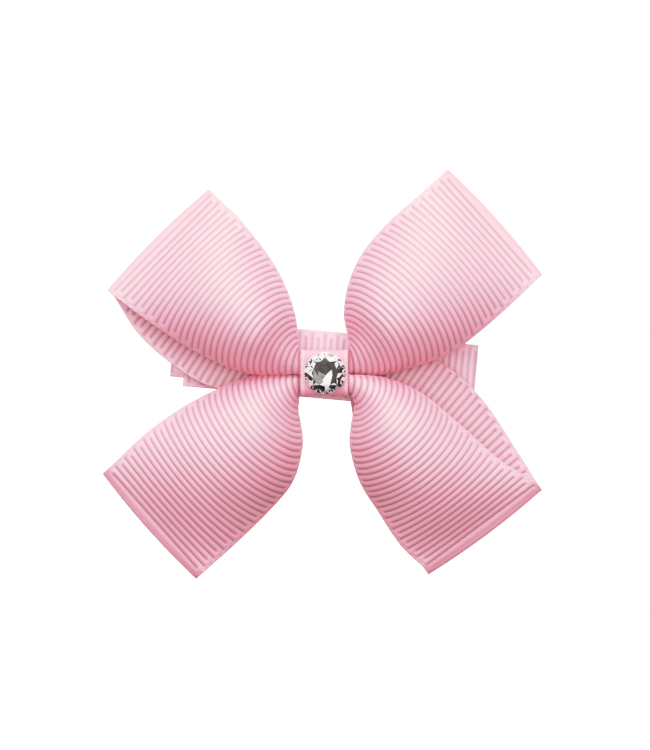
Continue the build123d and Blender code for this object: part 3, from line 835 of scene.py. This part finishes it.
def make_crystal():
    """A flat-backed stone: a table, two rings of crown facets and a girdle."""
    n = FACETS
    points = circle_points(n, TABLE_RADIUS * 0.6, CRYSTAL_HEIGHT, 0.6)
    points += circle_points(n, TABLE_RADIUS, CRYSTAL_HEIGHT * 0.98, 0.5)
    points += circle_points(2 * n, CRYSTAL_RADIUS * 0.8, CRYSTAL_HEIGHT * 0.66, 1.0)
    points += circle_points(4 * n, CRYSTAL_RADIUS * 0.985, GIRDLE, 2.0)
    points += circle_points(4 * n, CRYSTAL_RADIUS * 0.985, 0, 2.0)
    table, crown, girdle, back = n, 2 * n, 4 * n, 8 * n
    points = np.array(points)
    points[crown:girdle, ::2] *= rng.uniform(0.965, 1.035, (girdle - crown, 1))
    points[girdle:back, ::2] *= rng.uniform(0.985, 1.0, (back - girdle, 1))
    points[back:, ::2] = points[girdle:back, ::2]
    points = np.vstack([points, [(0.15, -CRYSTAL_HEIGHT, -0.3)]])
    faces = [(k, (k + 1) % n, len(points) - 1) for k in range(n)]
    for k in range(n):
        m = (k + 1) % n
        faces += [(k, table + k, m), (m, table + k, table + m)]
    faces += doubled_ring(table, crown, n) + doubled_ring(crown, girdle, 2 * n)
    for k in range(4 * n):
        m = (k + 1) % (4 * n)
        faces.append((girdle + k, girdle + m, back + m, back + k))
    faces.append(tuple(back + k for k in range(4 * n)))
    base = (0, -WRAP_DEPTH / 2 - GLUE_LAYER - FOIL, CRYSTAL_LIFT)
    obj = new_object("crystal_stone", to_bow(points + base) * MM, faces, False)
    work = bmesh.new()
    work.from_mesh(obj.data)
    bmesh.ops.recalc_face_normals(work, faces=work.faces)
    bmesh.ops.poke(work, faces=[face for face in work.faces if len(face.verts) < 5][2 * n:])
    work.to_mesh(obj.data)
    work.free()
    centre = Vector(to_bow((0, 0, CRYSTAL_LIFT)) * MM)
    # each facet's painted reflection, stored as the tone attribute
    painted_reflections = [facet_painted_reflection(face.center - centre) for face in obj.data.polygons]
    layer_made = obj.data.attributes.new("tone", "FLOAT", "FACE")
    layer_made.data.foreach_set("value", np.array(painted_reflections, np.float32))
    finish_piece(obj, ROOT, CRYSTAL, "crystal", "crystal")


def facet_painted_reflection(place):
    """Painted reflection on a facet: a brown-black table with a bright wedge low down, and a broken ring of
    dark and bright facets that is painted darkest at the bottom as shade."""
    x, z = place.x / (MM * CRYSTAL_RADIUS), place.z / (MM * CRYSTAL_RADIUS)
    reach = (x * x + z * z) ** 0.5
    # the table: a painted bright wedge low down, grey beside it, and a brown-black painted reflection
    # elsewhere
    if reach < TABLE_RADIUS / CRYSTAL_RADIUS:
        if z < 0 and -0.1 < x < 0.3:
            return 0.97
        if z < 0 and x < 0:
            return rng.uniform(0.42, 0.52)
        return rng.uniform(0.12, 0.28)
    # the ring: painted dark and bright reflections, more of them dark towards the bottom as painted shade
    low = -z / reach
    painted_dark_share = 0.5 + 0.12 * low
    if rng.uniform() < painted_dark_share:
        return rng.uniform(0.0, 0.22) if low > -0.3 else rng.uniform(0.05, 0.4)
    return rng.uniform(0.75, 1.0)


def make_foil():
    """The silvered disc under the stone, turned up a little at its rim."""
    count, radius = 32, CRYSTAL_RADIUS - 0.03
    points = []
    for share, height in ((0.97, 0.02 - FOIL), (1.0, 0.04 - FOIL), (1.0, -0.03), (0.97, 0.0)):
        points += circle_points(count, radius * share, height)
    faces = [tuple(range(count))[::-1]]
    for level in range(3):
        for k in range(count):
            m = (k + 1) % count
            a, b = level * count, (level + 1) * count
            faces.append((a + k, b + k, b + m, a + m)[::-1])
    faces.append(tuple(3 * count + k for k in range(count)))
    base = (0, -WRAP_DEPTH / 2 - GLUE_LAYER - FOIL, CRYSTAL_LIFT)
    obj = new_object("foil_back", to_bow(np.array(points) + base) * MM, faces, False)
    finish_piece(obj, ROOT, SILVER, "foil", "crystal_foil")


def soft_disc(name, half_x, half_z, front, back, roundness, wobble):
    """A pressed drop of glue: a rounded slab between two depths, with a wavy rim."""
    points, faces = [], []
    count = 48
    profile = [(0.0, 0.0), (0.8, 0.0), (0.94, 0.12), (1.0, 0.5), (0.94, 0.88), (0.8, 1.0), (0.0, 1.0)]
    for share, depth in profile[1:-1]:
        for k in range(count):
            a = 2 * pi * k / count
            r = (abs(cos(a)) ** roundness + abs(sin(a)) ** roundness) ** (-1 / roundness)
            r *= share * (1 + wobble * sin(3 * a + 1) + 0.6 * wobble * sin(7 * a))
            points.append((half_x * r * cos(a), front + (back - front) * depth, half_z * r * sin(a)))
    loops = len(profile) - 2
    for i in range(loops - 1):
        for k in range(count):
            m = (k + 1) % count
            faces.append((i * count + k, i * count + m, (i + 1) * count + m, (i + 1) * count + k))
    faces.append(tuple(range(count))[::-1])
    faces.append(tuple((loops - 1) * count + k for k in range(count)))
    return new_object(name, np.array(points) * MM, faces)


def make_glue():
    drop = soft_disc("stone_glue", 2.75, 2.75, 0.0, -GLUE_LAYER, 2.0, 0.02)
    drop.data.transform(Matrix.Translation(to_bow((0, -WRAP_DEPTH / 2, CRYSTAL_LIFT)) * MM))
    finish_piece(drop, ROOT, GLUE, "glue", "crystal_glue")
    pad_front = WAIST_DEPTH + WRAP_DEPTH / 2
    pad = soft_disc("clip_glue", 3.15, 2.95, pad_front, OUTER_FACE, 4.0, 0.015)
    pad.data.transform(Matrix.Translation(Vector((0, 0, WAIST_DROP + WRAP_LIFT)) * MM))
    finish_piece(pad, ROOT, GLUE, "glue", "bow_glue")


# ---------------------------------------------------------------- clip
def strip_rows(line, width, spacing=0.35):
    """Rows across a flat strip that follows a line of (u, v) along the clip."""
    line = np.asarray(line, float)
    along = lengths(line)
    count = max(3, round(along[-1] / spacing))
    at = np.linspace(0, along[-1], count)
    u, v = np.interp(at, along, line[:, 0]), np.interp(at, along, line[:, 1])
    across = columns_for(width)
    rows = np.empty((count, len(across), 3))
    rows[:, :, 0], rows[:, :, 1], rows[:, :, 2] = u[:, None], v[:, None], across
    return rows, across


def arc(centre, radius, start, end, count=14):
    angles = np.radians(np.linspace(start, end, count))
    return [(centre[0] + radius * cos(a), centre[1] + radius * sin(a)) for a in angles]


def make_lining(name, line, width, node, body):
    rows, across = strip_rows(line, width)
    rows, phase, ribs, crease = respaced(rows, False)
    obj = band(name, to_clip(rows), phase, width, across, LINING, RIB_HEIGHT, False, crease)
    finish_piece(obj, body, LINING_RIBBON, "lining", node)
    return obj, ribs * RIB_PITCH


def make_linings():
    middle = (OUTER_FACE + MOUTH_FACE) / 2
    reach = (MOUTH_FACE - OUTER_FACE) / 2 - LINING / 2
    end = TIP - (MOUTH_FACE - OUTER_FACE) / 2
    line = [(TAIL, middle - reach)] + arc((end, middle), reach, -90, 90) + [(LINING_TURN_IN, middle + reach)]
    obj, length = make_lining("arm_lining", line, LINING_WIDTH, "upper_arm_lining", ROOT)
    root, lever_end = np.array(LEVER_LINE[0]), np.array(LEVER_LINE[1])
    along = (lever_end - root) / np.hypot(*(lever_end - root))
    square = np.array([-along[1], along[0]])
    square = square if square[1] > 0 else -square
    gap = (STEEL + LINING) / 2
    start = root + along * (LEVER_WIDE_FROM - root[0]) / along[0]
    turn = [lever_end + gap * (square * cos(a) + along * 0.6 * sin(a)) for a in np.linspace(0, pi, 15)]
    line = [start + square * gap] + turn + [lever_end - along * LEVER_TURN_IN - square * gap]
    make_lining("thumb_lever_lining", line, LEVER_LINING_WIDTH, "lever_lining", JAW)


def make_steel():
    for node, body in (("upper_arm", ROOT), ("lower_arm", JAW)):
        finish_piece(cad_copy(node, 0.12), body, NICKEL, "clip_steel", node)


def lathe(name, profile, sides=40):
    """A solid of revolution about the clip's cross direction at the hinge."""
    points, faces = [], []
    for radius, place in profile:
        for k in range(sides):
            a = 2 * pi * k / sides
            points.append((HINGE_X + radius * cos(a), HINGE_Y + radius * sin(a), place))
    for i in range(len(profile) - 1):
        for k in range(sides):
            m = (k + 1) % sides
            faces.append((i * sides + k, i * sides + m, (i + 1) * sides + m, (i + 1) * sides + k))
    faces.append(tuple(range(sides))[::-1])
    faces.append(tuple((len(profile) - 1) * sides + k for k in range(sides)))
    return new_object(name, to_clip(points) * MM, faces)


def make_pin():
    """A rivet: a shank with a domed head at each end."""
    end, head = ARM_WIDTH / 2, PIN_RADIUS + 0.45
    dome = [(head * cos(a), end + PIN_HEAD * sin(a)) for a in np.radians([0, 20, 40, 60, 75])]
    half = [(PIN_RADIUS, end), (head * 0.98, end)] + dome
    profile = [(r, -z) for r, z in half[::-1]] + half
    obj = lathe("hinge_rivet", profile)
    finish_piece(obj, ROOT, NICKEL, "clip_steel", "hinge_pin")


def make_spring():
    """The torsion spring: coils round the pin and a leg to each tail. It winds along the pin."""
    pitch = WIRE + 0.06
    half = pitch * COIL_TURNS / 2
    angles = np.linspace(0, 2 * pi * COIL_TURNS, 150)
    coil = np.column_stack(
        [
            HINGE_X + COIL_RADIUS * np.sin(angles),
            HINGE_Y + COIL_RADIUS * np.cos(angles),
            -half + pitch * angles / (2 * pi),
        ]
    )
    (x0, y0), (x1, y1) = LEVER_LINE
    lever_y = y0 + (y1 - y0) / (x1 - x0) * (SPRING_FOOT - x0) - (STEEL + WIRE) / 2 - SPRING_GAP
    arm_y = OUTER_FACE + LINING + STEEL + WIRE / 2 + SPRING_GAP
    share = np.linspace(0, 1, 24)[:-1, None]
    lever_leg = (SPRING_FOOT, lever_y, -half) + share * (coil[0] - (SPRING_FOOT, lever_y, -half))
    arm_leg = coil[-1] + (1 - share[::-1]) * ((SPRING_FOOT, arm_y, half) - coil[-1])
    path = np.concatenate([lever_leg, coil, arm_leg[1:]])
    obj = tube("torsion_spring", to_clip(path), WIRE / 2, 12)
    finish_piece(obj, None, WIRE_STEEL, "spring_wire", "clip_spring")
    start = to_clip((HINGE_X, HINGE_Y, half - WIRE / 2)) * MM
    end = to_clip((HINGE_X, HINGE_Y, -half + WIRE / 2)) * MM
    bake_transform(obj)


# ---------------------------------------------------------------- stage
def make_stage(floor_z):
    sides = 96
    points = [(0.16 * cos(2 * pi * k / sides), 0.16 * sin(2 * pi * k / sides), floor_z) for k in range(sides)]
    floor = new_object("floor", points, [tuple(range(sides))])
    floor.data.materials.append(FLOOR_PAINT)


def area_light(name, place, target, size, energy):
    data = bpy.data.lights.new(name, "AREA")
    data.shape = "RECTANGLE"
    data.size, data.size_y = size
    data.energy = energy
    obj = bpy.data.objects.new(name, data)
    obj.location = place
    obj.rotation_euler = (Vector(target) - Vector(place)).to_track_quat("-Z", "Y").to_euler()
    bpy.context.scene.collection.objects.link(obj)
    return obj


def make_light():
    area_light("key", (-0.03, -0.56, 0.72), (0, 0, 0), (0.9, 0.5), 9.5)
    area_light("fill", (0.0, -1.1, 0.0), (0, 0, 0), (1.2, 1.0), 10.5)
    area_light("rear", (0.2, 0.8, 0.5), (0, 0, 0), (0.7, 0.7), 4.0)
    world = bpy.data.worlds.new("studio")
    world.use_nodes = True
    tree = world.node_tree
    seen = tree.nodes["Background"]
    seen.inputs["Color"].default_value = (1, 1, 1, 1)
    seen.inputs["Strength"].default_value = 3.0
    lit = tree.nodes.new("ShaderNodeBackground")
    lit.inputs["Color"].default_value = (1, 1, 1, 1)
    lit.inputs["Strength"].default_value = 1.0
    rays = tree.nodes.new("ShaderNodeLightPath")
    blend = tree.nodes.new("ShaderNodeMixShader")
    tree.links.new(rays.outputs["Is Camera Ray"], blend.inputs[0])
    tree.links.new(lit.outputs[0], blend.inputs[1])
    tree.links.new(seen.outputs[0], blend.inputs[2])
    tree.links.new(blend.outputs[0], tree.nodes["World Output"].inputs["Surface"])
    bpy.context.scene.world = world


def make_tone_curve():
    """A print-like tone curve: bright colours ease towards white, not clip."""
    view = bpy.context.scene.view_settings
    view.view_transform = "Standard"
    view.use_curve_mapping = True
    mapping = view.curve_mapping
    mapping.white_level = (2, 2, 2)
    mapping.extend = "HORIZONTAL"
    curve = mapping.curves[3]
    for linear, shown in ((0.3, 0.31), (0.6, 0.61), (0.85, 0.74), (1.15, 0.825), (1.5, 0.88), (1.95, 1.0)):
        curve.points.new(linear / 2, shown)
    mapping.update()


def make_camera():
    """Square on to the front, far back on a long lens."""
    view_width = 0.10108
    distance = 3.0
    data = bpy.data.cameras.new("camera")
    data.sensor_fit = "HORIZONTAL"
    data.sensor_width = 36.0
    data.lens = 36.0 * distance / view_width
    data.clip_start, data.clip_end = 0.1, 20.0
    obj = bpy.data.objects.new("camera", data)
    obj.location = (0, -distance + WAIST_DEPTH * MM, WAIST_DROP * MM)
    obj.rotation_euler = (pi / 2, 0, 0)
    bpy.context.scene.collection.objects.link(obj)
    bpy.context.scene.camera = obj


make_camera()
make_light()
make_stage(cad_box[0][2])
make_tone_curve()
make_ribbon("ribbon_upper_left_lower_right", UPPER_LEFT, LOWER_RIGHT, False, "outer_ribbon")
make_ribbon("ribbon_lower_left_upper_right", LOWER_LEFT, UPPER_RIGHT, True, "inner_ribbon")
make_wrap()
make_thread()
make_crystal()
make_foil()
make_glue()
make_linings()
make_steel()
make_pin()
make_spring()
